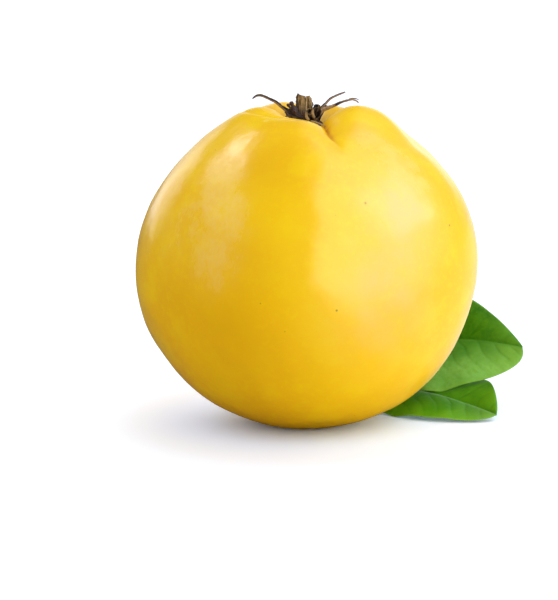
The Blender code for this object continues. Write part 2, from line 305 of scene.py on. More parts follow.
def unit(vectors):
    return vectors / np.linalg.norm(vectors, axis=-1, keepdims=True)


def tangents(line):
    return unit(np.gradient(line, axis=0))


def lengths_along(line):
    """The distance of each point of a line from its start."""
    return np.concatenate([[0.0], np.cumsum(np.linalg.norm(np.diff(line, axis=0), axis=1))])


def square_to(sides, along):
    """The directions nearest to the given ones that are square to the spine."""
    sides = np.broadcast_to(np.array(sides, float), along.shape)
    return unit(sides - along * np.sum(sides * along, axis=1, keepdims=True))


def over_and_back(top, under):
    """The columns of a sheet, out along its top and back along its underside."""
    return np.concatenate([top, under[:, ::-1]], axis=1)


def new_object(name, data):
    made = bpy.data.objects.new(name, data)
    bpy.context.scene.collection.objects.link(made)
    return made


class Shape:
    """Closed lofted surfaces that become one piece. Each point has a place on the piece and named values."""

    def __init__(self):
        self.points = []
        self.faces = []
        self.places = []
        self.values = {}
        self.count = 0

    def loft(self, rings, places, sheet=False, **values):
        """Adds a closed solid through rings that all have the same number of points.

        Fans close its ends, or strips from top to underside for a sheet, whose rings run over and back.
        """
        rows, columns = rings.shape[:2]
        index = self.count + np.arange(rows * columns).reshape(rows, columns)
        after = np.roll(index, -1, axis=1)
        quads = np.stack([index[:-1], after[:-1], after[1:], index[1:]], axis=-1).reshape(-1, 4)
        self.faces += quads.tolist()
        for number, end in enumerate((index[0].tolist(), index[-1].tolist())):
            if sheet:
                upper, lower = end[: columns // 2], end[: columns // 2 - 1 : -1]
                self.faces += [list(strip) for strip in zip(upper, upper[1:], lower[1:], lower)]
            else:
                middle = self.count + rows * columns + number
                self.faces += [[middle, second, first] for first, second in zip(end, end[1:] + end[:1])]
        ends = [] if sheet else [0, -1]
        self.points += [rings.reshape(-1, 3)] + [rings[end].mean(0)[None] for end in ends]
        self.places += [places.reshape(-1, 2)] + [places[end].mean(0)[None] for end in ends]
        for name, value in values.items():
            value = np.broadcast_to(value, (rows, columns))
            full = np.concatenate([value.ravel(), [value[end].mean() for end in ends]])
            self.values.setdefault(name, []).append((self.count, full))
        self.count += rows * columns + len(ends)

    def piece(self, name, material, slot_name, *nodes):
        """Makes the object, which stands for the CAD nodes and rides on the part's body."""
        mesh = bpy.data.meshes.new(name)
        mesh.from_pydata((np.concatenate(self.points) * MM).tolist(), [], self.faces)
        corners = np.empty(len(mesh.loops), np.int32)
        mesh.loops.foreach_get("vertex_index", corners)
        layer = mesh.uv_layers.new(name="place")
        layer.data.foreach_set("uv", np.concatenate(self.places)[corners].ravel())
        for value_name, parts in sorted(self.values.items()):
            value = np.zeros(self.count)
            for start, full in parts:
                value[start : start + len(full)] = full
            mesh.attributes.new(value_name, "FLOAT", "POINT").data.foreach_set("value", value)
        bm = bmesh.new()
        bm.from_mesh(mesh)
        bmesh.ops.recalc_face_normals(bm, faces=bm.faces)
        bm.to_mesh(mesh)
        bm.free()
        mesh.shade_smooth()
        mesh.materials.append(material)
        obj = new_object(name, mesh)
        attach(obj, BODY)
        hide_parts(*nodes)
        return obj


def build_skin(material):
    ways = fruit_directions()
    polar, azimuth = polar_and_azimuth(ways)
    points = skin_points(ways, skin_relief(ways))
    shape = Shape()
    shape.loft(
        points,
        grid(azimuth, polar),
        fold=fold_depths(polar, azimuth)[1],
        basin=hump(polar, math.radians(15)),
        hollow=hump(angle_to(ways, STEM_POLAR, STEM_AZIMUTH), STEM_REACH),
        **{name: patches(ways, table) for name, table in SKIN_PATCHES.items()},
    )
    shape.piece("quince_skin", material, "skin", "fruit")


# Leaves, as in the part: the petiole and midrib as one spine, the blade's two halves on either side.
LEAF_STEPS = 190
LEAF_HALF_STEPS = 56
LEAF_THICKNESS = 0.34
LEAF_LEAST_WIDTH = 0.12
# How far the blade arches and its edge ripples as shares of its width, and how much thinner its edge is.
LEAF_ARCH = 0.28
LEAF_RIPPLE = 0.02
LEAF_EDGE_THINNING = 0.7
STALK_RADIUS = 0.72
STALK_SIDES = 16
# The stalk's swelling at its foot, its thinning along the midrib, its depth in the blade, and how many of its
# rings are left out at the tip.
STALK_FOOT = 0.35
STALK_TAPER = 0.78
STALK_SUNK = 0.3
STALK_STEPS = 14
STALK_END = 10
VEIN_SPACING = 5.4
VEIN_HALF_WIDTH = 0.4
VEIN_DEPTH = 0.1
QUILT_HEIGHT = 0.13
MIDRIB_HALF_WIDTH = 0.5
MIDRIB_DEPTH = 0.18
# Half a blade: the direction of its side at the base and at the tip, its width, where along the midrib it is
# widest, how blunt it is and how far it sweeps forward at the tip.
LEAVES = {
    "leaf_upper": {
        "petiole": ((15.6, 32.7, 6.7), (20.0, 32.2, 9.8)),
        "midrib": (
            (23.5, 31.6, 12.6), (33.0, 28.0, 16.8), (42.0, 24.4, 18.4),
            (51.0, 20.4, 18.8), (62.1, 16.4, 17.8),
        ),
        "front": ((0, -0.86, -0.5), (0, -0.68, -0.75), 20.0, 0.42, 0.6, 0.6),
        "back": ((0, 0.46, 0.89), (0, 0.46, 0.89), 14.1, 0.43, 0.95, 0.2),
    },
    "leaf_lower": {
        "petiole": ((11.1, 26.8, 4.8), (16.0, 23.0, 4.1)),
        "midrib": (
            (20.5, 19.5, 4.7), (28.5, 14.6, 5.6), (36.5, 9.8, 5.5),
            (46.0, 4.5, 3.6), (53.7, -0.4, 1.7),
        ),
        "front": ((0, -0.92, -0.36), (0, -0.95, -0.3), 12.6, 0.42, 0.5, 0.1),
        "back": ((0, 1.0, -0.1), (0, 0.6, 0.95), 13.0, 0.5, 0.6, -0.1),
    },
}
# The greens of each leaf's back half, darker as painted shade, and of its front half at the midrib and at the
# edge, lighter towards the edge as painted light.
LEAF_LIT_AND_SHADED_GREENS = {
    "leaf_upper": (
        ((0.015, 0.12, 0.0), (0.055, 0.21, 0.003)),
        ((0.025, 0.17, 0.006), (0.075, 0.27, 0.02)),
        ((0.12, 0.36, 0.055), (0.20, 0.47, 0.095)),
    ),
    "leaf_lower": (
        ((0.04, 0.19, 0.0), (0.085, 0.30, 0.003)),
        ((0.025, 0.17, 0.0), (0.06, 0.25, 0.004)),
        ((0.08, 0.33, 0.004), (0.15, 0.42, 0.012)),
    ),
}


def vein_pattern(along, across, offset):
    """The strength of the side veins, and how far between two of them a point lies."""
    wander = 0.5 * np.sin(0.55 * across + 0.35 * along)
    phase = (along - 0.62 * across - 0.022 * across**2 + wander) / VEIN_SPACING + offset
    aside = np.abs(phase - np.round(phase)) * VEIN_SPACING * 0.8
    return hump(aside, VEIN_HALF_WIDTH), np.sin(np.clip(aside / (0.4 * VEIN_SPACING), 0, 1) * math.pi / 2)


def half_blade(half, sign, midrib):
    """Half a blade, from its edge inwards: top, underside, veins, midrib, margin and places."""
    base, tip, width, widest, bluntness, sweep = half
    shares = np.linspace(0.0, 1.0, LEAF_STEPS)[:, None] ** 0.97
    lengths = lengths_along(midrib)[:, None]
    along = tangents(midrib)
    sides = square_to(np.array(base) + np.subtract(tip, base) * shares**2, along)
    ups = np.cross(along, sides) * sign
    oval = np.maximum(np.sin(math.pi * shares ** (math.log(0.5) / math.log(widest))), 0.0) ** bluntness
    widths = width * oval + LEAF_LEAST_WIDTH
    steps = np.linspace(1.0, 0.0, LEAF_HALF_STEPS, endpoint=False)
    across = widths * steps
    vein, quilt = vein_pattern(lengths, across, 0.25 * sign)
    fade = (1.0 - steps) ** 0.7 * np.clip(across / 1.5, 0, 1)
    rib = hump(across, MIDRIB_HALF_WIDTH)
    ripple = LEAF_RIPPLE * widths * steps**3 * np.sin(lengths * 0.55 + 1.5 * sign)
    arch = LEAF_ARCH * widths * steps * (1 - steps)
    relief = arch + ripple + QUILT_HEIGHT * quilt * fade - VEIN_DEPTH * vein * fade - MIDRIB_DEPTH * rib
    forward = sweep * across * shares**6
    surface = midrib[:, None] + sides[:, None] * across[..., None] + ups[:, None] * relief[..., None]
    surface = surface + along[:, None] * forward[..., None]
    half_thickness = LEAF_THICKNESS / 2 * (1.0 - LEAF_EDGE_THINNING * steps**4)
    offset = ups[:, None] * half_thickness[:, None]
    margin = np.broadcast_to(steps, across.shape)
    place = grid(lengths, sign * across)
    return surface + offset, surface - offset, vein * fade, rib, margin, place


def build_leaf(name, material):
    leaf = LEAVES[name]
    midrib = smooth_line(leaf["midrib"], LEAF_STEPS)
    along = tangents(midrib)
    front_side, back_side = (square_to(leaf[half][0], along) for half in ("front", "back"))
    ups = unit(np.cross(front_side, along) + np.cross(along, back_side))
    zero = np.zeros((LEAF_STEPS, 1))
    middles = (
        (midrib + ups * (LEAF_THICKNESS / 2 - MIDRIB_DEPTH))[:, None],
        (midrib - ups * (LEAF_THICKNESS / 2 + MIDRIB_DEPTH))[:, None],
        zero,
        zero + 1.0,
        zero,
        grid(lengths_along(midrib)[:, None], zero),
    )
    columns = zip(half_blade(leaf["front"], -1, midrib), middles, half_blade(leaf["back"], 1, midrib))
    top, under, vein, rib, margin, place = (
        np.concatenate([front, centre, back[:, ::-1]], axis=1) for front, centre, back in columns
    )
    shape = Shape()
    shape.loft(
        over_and_back(top, under),
        over_and_back(place, place) * MM,
        sheet=True,
        vein=over_and_back(vein, vein),
        midrib=over_and_back(rib, rib),
        margin=over_and_back(margin, margin),
        under=np.repeat([0.0, 1.0], top.shape[1]),
    )
    petiole = smooth_line(leaf["petiole"], STALK_STEPS)[:-1]
    stalk = np.vstack([petiole, (midrib - ups * (MIDRIB_DEPTH + STALK_SUNK))[:-STALK_END]])
    shares = np.linspace(0.0, 1.0, len(stalk))
    radii = STALK_RADIUS * (1.0 - STALK_TAPER * shares**0.6) + STALK_FOOT * hump(shares, 0.03)
    rings, places = tube_rings(stalk, radii, STALK_SIDES)
    shape.loft(rings, places, stalk=1.0)
    blade = shape.piece(name + "_blade", material, "leaf", name)
    # The skin's sheen doesn't mirror the leaves, as the photograph's right rim is pale.
    blade.visible_glossy = False


def tube_rings(line, radii, sides, relief=None):
    """Rings of a round stem, with places along it and half way round and back."""
    along = tangents(line)
    side = square_to((0.31, 0.93, 0.2), along)
    other = np.cross(along, side)
    turns = round_turns(sides)
    reach = np.repeat(radii[:, None], sides, axis=1)
    if relief is not None:
        reach = reach + relief(np.linspace(0.0, 1.0, len(line))[:, None], turns)
    outwards = np.cos(turns)[:, None] * side[:, None] + np.sin(turns)[:, None] * other[:, None]
    places = grid(lengths_along(line)[:, None], np.abs(turns / math.pi - 1.0))
    return line[:, None] + reach[..., None] * outwards, places * MM


# Dried sepals, each made of curled blades: (direction of the side, ridges across it, their height, stretch of
# the curl, slant of the end, points along it). A point is (x, y, z, half width, roll in degrees, darkness);
# the darkness is partly the tissue's own brown and partly painted shade, near-black where the calyx is in
# shadow.
SEPAL_THICKNESS = 0.24
SEPAL_STEPS = 64
SEPAL_ACROSS = 29
SEPALS = {
    "sepal_left": (
        ((0.15, 0.8, 0.5), 3, 0.07, 1, 0, (
            (-2.7, 0.2, 85.4, 1.2, 170, 0.9), (-4.3, 0.5, 87.4, 1.1, 190, 0.75),
            (-5.9, 0.7, 88.15, 0.9, 210, 0.55), (-7.4, 0.9, 89.3, 0.75, 220, 0.45),
            (-8.75, 1.1, 90.4, 0.65, 220, 0.4), (-11.0, 1.4, 91.5, 0.56, 210, 0.35),
            (-12.8, 1.6, 92.2, 0.52, 190, 0.4), (-14.1, 1.7, 92.1, 0.46, 170, 0.45),
            (-15.2, 1.8, 91.4, 0.22, 150, 0.6),
        )),
        # A dark lobe at the foot of the calyx, painted near-black as shade.
        ((-0.2, -0.3, -0.9), 4, 0.1, 1, 0, (
            (0.2, -4.2, 85.8, 0.9, 60, 1.3), (-1.6, -3.9, 86.5, 1.2, 70, 1.3),
            (-3.1, -3.2, 87.0, 1.3, 80, 1.3), (-4.7, -2.0, 87.5, 1.1, 90, 1.2),
            (-6.1, -1.0, 88.2, 0.35, 90, 0.9),
        )),
        ((-0.2, -0.3, -0.9), 2, 0.03, 1, 0, (
            (-4.4, -2.6, 87.1, 0.4, 90, 1.0), (-5.3, -2.6, 87.2, 0.32, 90, 0.9),
            (-6.1, -2.5, 86.9, 0.1, 90, 0.8),
        )),
    ),
    "sepal_upright": (
        ((1.0, 0.1, 0.0), 5, 0.13, 1, -0.3, (
            (-1.5, 0.2, 85.0, 1.9, -170, 0.9), (-1.6, -0.1, 87.5, 2.1, -180, 0.55),
            (-1.65, -0.5, 90.0, 2.2, -190, 0.25), (-1.6, -0.8, 91.8, 2.1, -190, 0.2),
            (-1.5, -0.9, 92.7, 1.7, -200, 0.4),
        )),
        ((1.0, 0.15, 0.0), 4, 0.1, 1, 0, (
            (0.5, 0.6, 85.0, 1.7, -190, 1.0), (0.65, 0.3, 87.5, 1.8, -200, 0.75),
            (0.6, 0.0, 90.0, 1.8, -210, 0.5), (0.45, -0.2, 91.5, 1.5, -220, 0.45),
            (0.3, -0.3, 92.4, 0.7, -220, 0.55),
        )),
        ((0.9, 0.4, 0.0), 2, 0.03, 1, 0, (
            (-2.7, -0.1, 86.8, 0.55, 140, 1.0), (-2.75, -0.4, 89.6, 0.55, 140, 0.9),
            (-2.65, -0.6, 91.6, 0.6, 150, 0.8), (-2.55, -0.7, 92.7, 0.5, 150, 0.75),
            (-2.3, -0.7, 93.1, 0.15, 140, 0.6),
        )),
        ((-1.0, -0.1, 0.0), 2, 0.02, 1, 0, (
            (-0.15, -2.6, 86.9, 0.2, 120, 0.3), (-0.2, -2.1, 88.4, 0.22, 120, 0.15),
            (-0.2, -1.4, 90.4, 0.2, 120, 0.1), (-0.15, -0.9, 92.5, 0.12, 120, 0.2),
        )),
    ),
    "sepal_right_back": (
        ((-0.1, -0.8, -0.4), 3, 0.05, 1, 0, (
            (2.1, 1.8, 84.8, 1.0, 160, 0.5), (4.0, 2.1, 88.3, 0.85, 180, 0.2),
            (5.3, 2.4, 89.8, 0.65, 200, 0.0), (6.7, 3.0, 91.2, 0.52, 210, 0.0),
            (8.7, 3.5, 92.2, 0.42, 200, 0.1), (10.7, 4.0, 93.0, 0.22, 180, 0.3),
        )),
    ),
    "sepal_right_front": (
        ((-0.1, -0.95, 0.1), 4, 0.09, 1, 0, (
            (2.6, -0.4, 85.0, 1.6, 200, 0.5), (4.2, -0.5, 87.7, 1.5, 220, 0.15),
            (5.84, -0.6, 88.7, 1.3, 240, 0.1), (7.42, -0.7, 89.4, 1.1, 250, 0.6),
            (9.03, -0.8, 90.25, 0.85, 240, 1.0), (10.84, -0.8, 91.0, 0.66, 220, 0.55),
            (12.5, -0.8, 91.35, 0.5, 190, 0.2), (13.6, -0.9, 91.15, 0.42, 160, 0.25),
            (14.35, -1.0, 90.6, 0.2, 130, 0.5),
        )),
        ((-0.1, -1.0, -0.3), 2, 0.02, 1, 0, (
            (11.6, -0.7, 91.5, 0.3, 120, 0.2), (12.6, -0.65, 91.75, 0.25, 120, 0.1),
            (13.6, -0.6, 91.7, 0.2, 120, 0.1), (14.35, -0.55, 91.35, 0.12, 100, 0.1),
        )),
    ),
    "sepal_front": (
        ((-0.588, 0.184, 0.784), 5, 0.04, 1, 0, (
            (0.4, -1.4, 87.5, 0.5, 320, 1.2), (0.28, -2.8, 87.75, 1.6, 335, 0.9),
            (0.12, -4.3, 88.1, 2.4, 345, 0.5),
        )),
        ((-0.853, 0.155, 0.49), 6, 0.05, 1.25, 0, (
            (1.9, -1.4, 86.2, 0.9, 310, 1.3), (1.8, -2.8, 86.4, 2.5, 325, 1.1),
            (1.75, -4.4, 86.75, 3.8, 335, 0.85),
        )),
        # A dark sheet behind the scrolls that stands in for the shade there: painted shade.
        ((1.0, 0.2, 0.0), 4, 0.12, 1, 0, (
            (2.1, -0.4, 85.1, 1.6, 110, 1.5), (2.5, -1.2, 87.8, 1.6, 120, 1.5),
            (2.6, -1.6, 89.3, 1.4, 140, 1.5), (2.6, -1.8, 90.3, 0.7, 160, 1.3),
        )),
        ((0.8, -0.3, 0.2), 2, 0.04, 1, 0, (
            (-0.15, -2.8, 88.7, 0.3, 60, 0.3), (-0.25, -3.9, 87.6, 0.42, 80, 0.1),
            (0.0, -4.6, 86.8, 0.42, 80, 0.1), (0.6, -5.0, 86.2, 0.25, 60, 0.3),
        )),
        ((0.9, 0.3, 0.1), 2, 0.03, 1, 0, (
            (1.65, -4.3, 89.3, 0.25, 90, 0.5), (1.6, -4.6, 88.4, 0.38, 100, 0.2),
            (1.75, -4.7, 87.5, 0.38, 100, 0.2), (2.1, -4.7, 86.8, 0.2, 90, 0.5),
        )),
        ((1.0, 0.3, 0.0), 2, 0.03, 1, 0, (
            (3.1, -2.8, 88.2, 0.5, 90, 0.8), (3.35, -3.0, 89.4, 0.5, 120, 0.4),
            (3.38, -3.2, 90.25, 0.2, 110, 0.1),
        )),
        ((0.6, 0.6, 0.1), 2, 0.03, 1, 0, (
            (1.2, -4.9, 86.1, 0.3, 110, 0.3), (1.7, -5.6, 86.0, 0.3, 120, 0.1),
            (2.76, -6.3, 85.75, 0.26, 120, 0.1), (4.3, -7.3, 85.2, 0.22, 120, 0.2),
            (5.0, -8.3, 84.8, 0.08, 110, 0.4),
        )),
    ),
}


def ragged(places, seed):
    """A column of uneven values from -1 to 1 along a dried edge."""
    values = [noise.fractal(Vector((place, seed, 0.0)), 0.7, 2.0, 4) for place in places]
    return np.array(values)[:, None]


def loft_dried_blade(shape, blade, seed):
    """Adds a dried blade whose edges roll up. Its places are the share along it and the share across it."""
    side, ridge_count, ridge_height, stretch, slant, spine = blade
    spine = smooth_line(spine, SEPAL_STEPS)
    line, half_width, roll, shade = spine[:, :3], spine[:, 3:4], spine[:, 4:5], spine[:, 5:]
    along = tangents(line)
    side = square_to(side, along)
    up = np.cross(side, along)
    shares = np.linspace(0.0, 1.0, SEPAL_STEPS)
    across = np.linspace(-1.0, 1.0, SEPAL_ACROSS)
    edge = np.where(across < 0, ragged(9 * shares, seed), ragged(9 * shares, seed + 5.0))
    widths = half_width * (1.0 + 0.2 * edge * across**2)
    half_roll = np.radians(roll / 2)
    turn = across * half_roll
    level = widths * np.sin(turn) / half_roll
    height = stretch * widths * (1.0 - np.cos(turn)) / half_roll
    wrinkles = ragged(5 * shares, seed + 9.0)
    ridges = np.cos(math.pi * ridge_count * across + 1.5 * wrinkles) * (1.0 - 0.5 * across**2)
    lift = ridge_height * (ridges + 0.8 * wrinkles)
    half_thickness = SEPAL_THICKNESS / 2 * (1.0 - 0.5 * across**4)
    forward = slant * across * shares[:, None] ** 2

    def surface(offset):
        aside = level - np.sin(turn) * offset
        rise = height + np.cos(turn) * offset
        flat = side[:, None] * aside[..., None] + up[:, None] * rise[..., None]
        return line[:, None] + flat + along[:, None] * forward[..., None]

    rings = over_and_back(surface(lift + half_thickness), surface(lift - half_thickness))
    place = grid(shares[:, None], across)
    # The inner side of each curl is marked for painted shade.
    inner = np.repeat([1.0, 0.0] if roll[0] > 0 else [0.0, 1.0], SEPAL_ACROSS)
    shape.loft(rings, over_and_back(place, place), sheet=True, inner=inner, shade=shade)


def build_sepal(name, material):
    shape = Shape()
    for number, blade in enumerate(SEPALS[name]):
        loft_dried_blade(shape, blade, 17.0 * number + len(name))
    shape.piece(name + "_dried", material, "dried_calyx", name)


# The spines of the dried styles and stamens. The first stamen is a short thick stub.
STYLES = (
    ((-1.5, -0.2, 83.9), (-1.9, -1.1, 86.6), (-2.4, -1.6, 88.3)),
    ((0.4, -0.6, 82.8), (0.2, -1.7, 86.6), (-0.2, -2.3, 88.2)),
    ((1.2, 1.1, 83.8), (1.9, 2.2, 87.2), (2.3, 2.6, 89.2)),
    ((-0.6, 2.3, 85.2), (-0.6, 2.9, 87.3), (-0.9, 3.3, 89.5)),
    ((-2.2, 2.2, 85.4), (-2.8, 2.7, 87.4), (-3.6, 3.0, 89.2)),
)
STAMENS = (
    ((-3.2, -1.65, 85.5), (-3.5, -1.5, 87.8), (-3.75, -1.35, 89.2), (-4.2, -1.2, 90.2), (-4.4, -1.2, 91.0)),
    ((-2.4, -2.0, 85.2), (-3.0, -3.0, 87.5), (-3.6, -3.2, 88.7)),
    ((-0.35, -2.8, 85.1), (-0.8, -3.9, 87.5), (-1.2, -4.1, 88.6)),
    ((2.9, 0.7, 84.9), (4.7, 1.2, 88.3), (5.7, 1.4, 89.5)),
    ((0.7, 2.8, 84.7), (1.2, 4.4, 88.2), (1.4, 4.9, 90.0)),
    ((-2.8, 2.2, 84.9), (-4.6, 3.1, 88.4), (-5.5, 3.4, 89.8)),
)
# Radii along them, up to the dark knob at the end.
STYLE_RADII = (0.5, 0.42, 0.36, 0.34, 0.36, 0.46, 0.25)
STAMEN_RADII = (0.34, 0.3, 0.27, 0.27, 0.34, 0.5, 0.28)
STUB_RADII = (1.1, 1.15, 1.1, 0.85, 0.5, 0.64, 0.4)
THREAD_STEPS = 40
THREAD_SIDES = 14
THREAD_RELIEF = 0.035


def build_thread(node, spine, radii, seed, material):
    """A style or stamen, shrivelled, with a knob at its end."""

    def shrivel(shares, turns):
        return THREAD_RELIEF * (np.cos(3 * turns + 9 * shares + seed) + 0.7 * np.cos(5 * turns - 16 * shares))

    line = smooth_line(spine, THREAD_STEPS)
    shape = Shape()
    rings, places = tube_rings(line, smooth_values(radii, THREAD_STEPS), THREAD_SIDES, shrivel)
    shape.loft(rings, places / MM * [0.1, 1.0], shade=0.8)
    shape.piece(node + "_dried", material, "dried_calyx", node)


# The dry woody cup on the floor of the basin, whose underside lies just below the skin.
CUP_POLAR = 6.4
CUP_SUNK = 0.3
CUP_RINGS = 40
CUP_SEGMENTS = 96


def build_cup(material):
    polars = np.radians(np.linspace(0.15, CUP_POLAR, CUP_RINGS))[:, None]
    azimuths = round_turns(CUP_SEGMENTS)
    ways = direction(polars, azimuths)
    share = polars / math.radians(CUP_POLAR)
    furrows = np.cos(14 * azimuths + 2 * np.sin(3 * azimuths)) * share * (1.15 - share)
    lumps = uneven(ways, 1.1) + 0.5 * uneven(ways, 0.5)
    middle = 1.0 - share**2
    rim = hump(share - 0.72, 0.2)
    top = skin_points(ways, 0.25 + middle + 1.7 * rim + 0.45 * furrows + 0.25 * lumps)
    under = skin_points(ways, -CUP_SUNK)
    place = grid(share, np.abs(azimuths - math.pi))
    shape = Shape()
    shape.loft(np.concatenate([top, under[::-1]]), np.concatenate([place, place[::-1]]), shade=1.0)
    shape.piece("calyx_floor", material, "dried_calyx", "calyx_cup")


# The twig, with swellings, (place along it, height), and a bud above each leaf stalk.
TWIG_SPINE = (
    (5.6, 18.4, 11.5), (6.4, 20.8, 7.6), (8.6, 25.0, 5.1),
    (12.0, 30.0, 4.9), (16.0, 35.5, 6.6), (20.5, 41.0, 9.6),
)
TWIG_RADII = (1.9, 1.6, 1.6, 1.8, 1.7, 1.45)
TWIG_FOOT = 0.7
TWIG_STEPS = 150
TWIG_SIDES = 40
TWIG_NODES = ((0.47, 0.25), (0.72, 0.28), (0.9, 0.18))
BUDS = (
    ((10.4, 26.6, 6.3), (11.0, 27.6, 7.6), (11.3, 28.6, 8.9)),
    ((15.2, 33.6, 8.0), (16.0, 34.2, 9.2), (16.8, 35.0, 10.4)),
)
BUD_RADII = (0.7, 0.85, 0.75, 0.45, 0.1)
BUD_STEPS = 24
BUD_SIDES = 18
BUD_SCALES = 0.07


def bark_relief(shares, turns):
    rings = sum(swell * hump(shares - at, 0.035) for at, swell in TWIG_NODES)
    cork = 0.07 * np.cos(6 * turns + 5 * np.sin(14 * shares)) + 0.04 * np.cos(11 * turns - 37 * shares)
    growth = 0.03 * np.cos(160 * shares + np.sin(2 * turns))
    return rings + cork + growth


def bud_relief(shares, turns):
    return BUD_SCALES * np.abs(np.cos(1.5 * turns + 7 * shares))


def build_twig(material):
    radii = smooth_values(TWIG_RADII, TWIG_STEPS) + TWIG_FOOT * hump(np.linspace(0.0, 1.0, TWIG_STEPS), 0.05)
    rings, places = tube_rings(smooth_line(TWIG_SPINE, TWIG_STEPS), radii, TWIG_SIDES, bark_relief)
    cut = np.zeros((TWIG_STEPS, 1))
    cut[-1] = 1.0
    shape = Shape()
    shape.loft(rings, places, cut=cut)
    for spine in BUDS:
        radii = smooth_values(BUD_RADII, BUD_STEPS)
        rings, places = tube_rings(smooth_line(spine, BUD_STEPS), radii, BUD_SIDES, bud_relief)
        shape.loft(rings, places, bud=1.0)
    shape.piece("twig_bark", material, "bark", "twig")


# The sockets of a mix node's share and two colours, and of the mixed colour.
MIX_INPUTS = (0, 6, 7)
MIX_OUTPUT = 2


class Nodes:
    """The node tree of a material or a world, with short calls for its nodes."""

    def __init__(self, owner):
        owner.use_nodes = True
        self.owner = owner
        self.tree = owner.node_tree

    def add(self, kind, inputs, output=0, **settings):
        node = self.tree.nodes.new("ShaderNode" + kind)
        for name, value in settings.items():
            setattr(node, name, value)
        for key, value in inputs.items():
            self.put(node, key, value)
        return node.outputs[output]

    def put(self, node, key, value):
        if isinstance(value, bpy.types.NodeSocket):
            self.tree.links.new(value, node.inputs[key])
        else:
            node.inputs[key].default_value = value

    def surface(self, **sockets):
        """Sets the shader's own sockets, with underscores for spaces, and returns the material."""
        for name, value in sockets.items():
            self.put(self.tree.nodes["Principled BSDF"], name.replace("_", " "), value)
        return self.owner

    def value(self, name):
        """A named value of the mesh's points."""
        return self.add("Attribute", {}, output="Fac", attribute_name=name)

    def here(self):
        """The place on the piece in millimetres of the part's frame."""
        place = self.add("TexCoord", {}, output="Object")
        return self.add("VectorMath", {0: place, "Scale": 1 / MM}, operation="SCALE")

    def on_blade(self, along, across):
        """The place along and across the piece, from its own map."""
        return self.stretched(self.add("UVMap", {}, uv_map="place"), along, across, 1.0)

    def stretched(self, place, *scales):
        return self.add("VectorMath", {0: place, 1: scales}, operation="MULTIPLY")

    def axis(self, place, letter):
        return self.add("SeparateXYZ", {0: place}, output=letter)

    def noise(self, place, size, detail=3.0, roughness=0.5):
        """Soft noise from 0 to 1 with hills of about the given size."""
        inputs = {"Vector": place, "Scale": 1.0 / size, "Detail": detail, "Roughness": roughness}
        return self.add("TexNoise", inputs)

    def step(self, value, low, high, to_low=0.0, to_high=1.0):
        """A smooth step of a value between two levels."""
        inputs = {"Value": value, "From Min": low, "From Max": high, "To Min": to_low, "To Max": to_high}
        return self.add("MapRange", inputs, interpolation_type="SMOOTHSTEP")

    def math(self, operation, *inputs):
        return self.add("Math", dict(enumerate(inputs)), operation=operation)

    def times(self, first, second):
        return self.math("MULTIPLY", first, second)

    def mix(self, share, *colours):
        """From the first colour to the second by a share."""
        values = [share] + [c if isinstance(c, bpy.types.NodeSocket) else (*c, 1.0) for c in colours]
        return self.add("Mix", dict(zip(MIX_INPUTS, values)), MIX_OUTPUT, data_type="RGBA")

    def over(self, under, colour, share, strength):
        """A colour laid over another one by a share of the given strength."""
        return self.mix(self.times(share, strength), under, colour)

    def specks(self, place, spacing, radius, share):
        """Small round marks in a share of the cells of the given spacing."""
        cells = {"Vector": place, "Scale": 1.0 / spacing}
        distance, tint = (self.add("TexVoronoi", cells, output=name) for name in ("Distance", "Color"))
        red, green = (self.add("SeparateColor", {"Color": tint}, output=name) for name in ("Red", "Green"))
        size = self.times(self.step(green, 0.0, 1.0, 0.45, 1.0), radius / spacing)
        soft = 0.35 * radius / spacing
        mark = self.step(self.math("SUBTRACT", size, distance), -soft, soft)
        return self.times(mark, self.math("LESS_THAN", red, share))

    def bumps(self, *layers):
        """Bumps on top of one another: (height, depth in millimetres)."""
        inputs = {}
        for height, depth in layers:
            inputs |= {"Height": height, "Strength": 1.0, "Distance": depth * MM}
            inputs["Normal"] = self.add("Bump", inputs)
        return inputs["Normal"]


# Colours of the skin.
GOLDEN = (0.925, 0.580, 0.0)
DEEP_GOLD = (0.885, 0.520, 0.0)
DEEPEST_GOLD_AND_SHADE = (0.79, 0.425, 0.0)
PALE_GOLD = (0.935, 0.63, 0.0)
PALEST_GOLD = (0.94, 0.66, 0.0)
HIGHLIGHT_GOLD = (0.87, 0.50, 0.09)
BASIN_GOLD_AND_SHADE = (0.90, 0.47, 0.0)
# The pale veil of the bloom: the down's own colour and painted sheen.
DOWN_AND_SHEEN = (0.93, 0.68, 0.25)
FOLD_SHADE_BROWN = (0.60, 0.23, 0.012)
RUSSET = (0.45, 0.22, 0.03)
HOLLOW_OLIVE = (0.40, 0.30, 0.05)
MARK_BROWN = (0.22, 0.15, 0.01)
PORE_OLIVE = (0.66, 0.44, 0.03)

# Colours of the leaves, beside LEAF_LIT_AND_SHADED_GREENS; the base green is painted shadow, the tip green
# painted light.
BASE_SHADOW_GREEN = (0.03, 0.16, 0.004)
TIP_LIT_GREEN = (0.27, 0.50, 0.06)
FLECK_GREEN = (0.09, 0.28, 0.01)
NET_GREEN = (0.10, 0.32, 0.03)
VEIN_GREEN = (0.015, 0.12, 0.002)
MIDRIB_GREEN = (0.08, 0.28, 0.02)
MARGIN_GREEN = (0.20, 0.42, 0.02)
FELT_GREENS = ((0.22, 0.36, 0.14), (0.36, 0.47, 0.26))
FELT_VEIN = (0.42, 0.50, 0.26)
STALK_GREENS = ((0.22, 0.34, 0.07), (0.34, 0.40, 0.12))

# Colours of the twig and its buds.
BARK_BROWNS = ((0.13, 0.085, 0.05), (0.25, 0.18, 0.11))
BARK_FURROW = (0.07, 0.042, 0.025)
BARK_PORE = (0.46, 0.37, 0.25)
BUD_BROWNS = ((0.20, 0.07, 0.03), (0.33, 0.16, 0.08))
CUT_WOOD = (0.62, 0.50, 0.30)


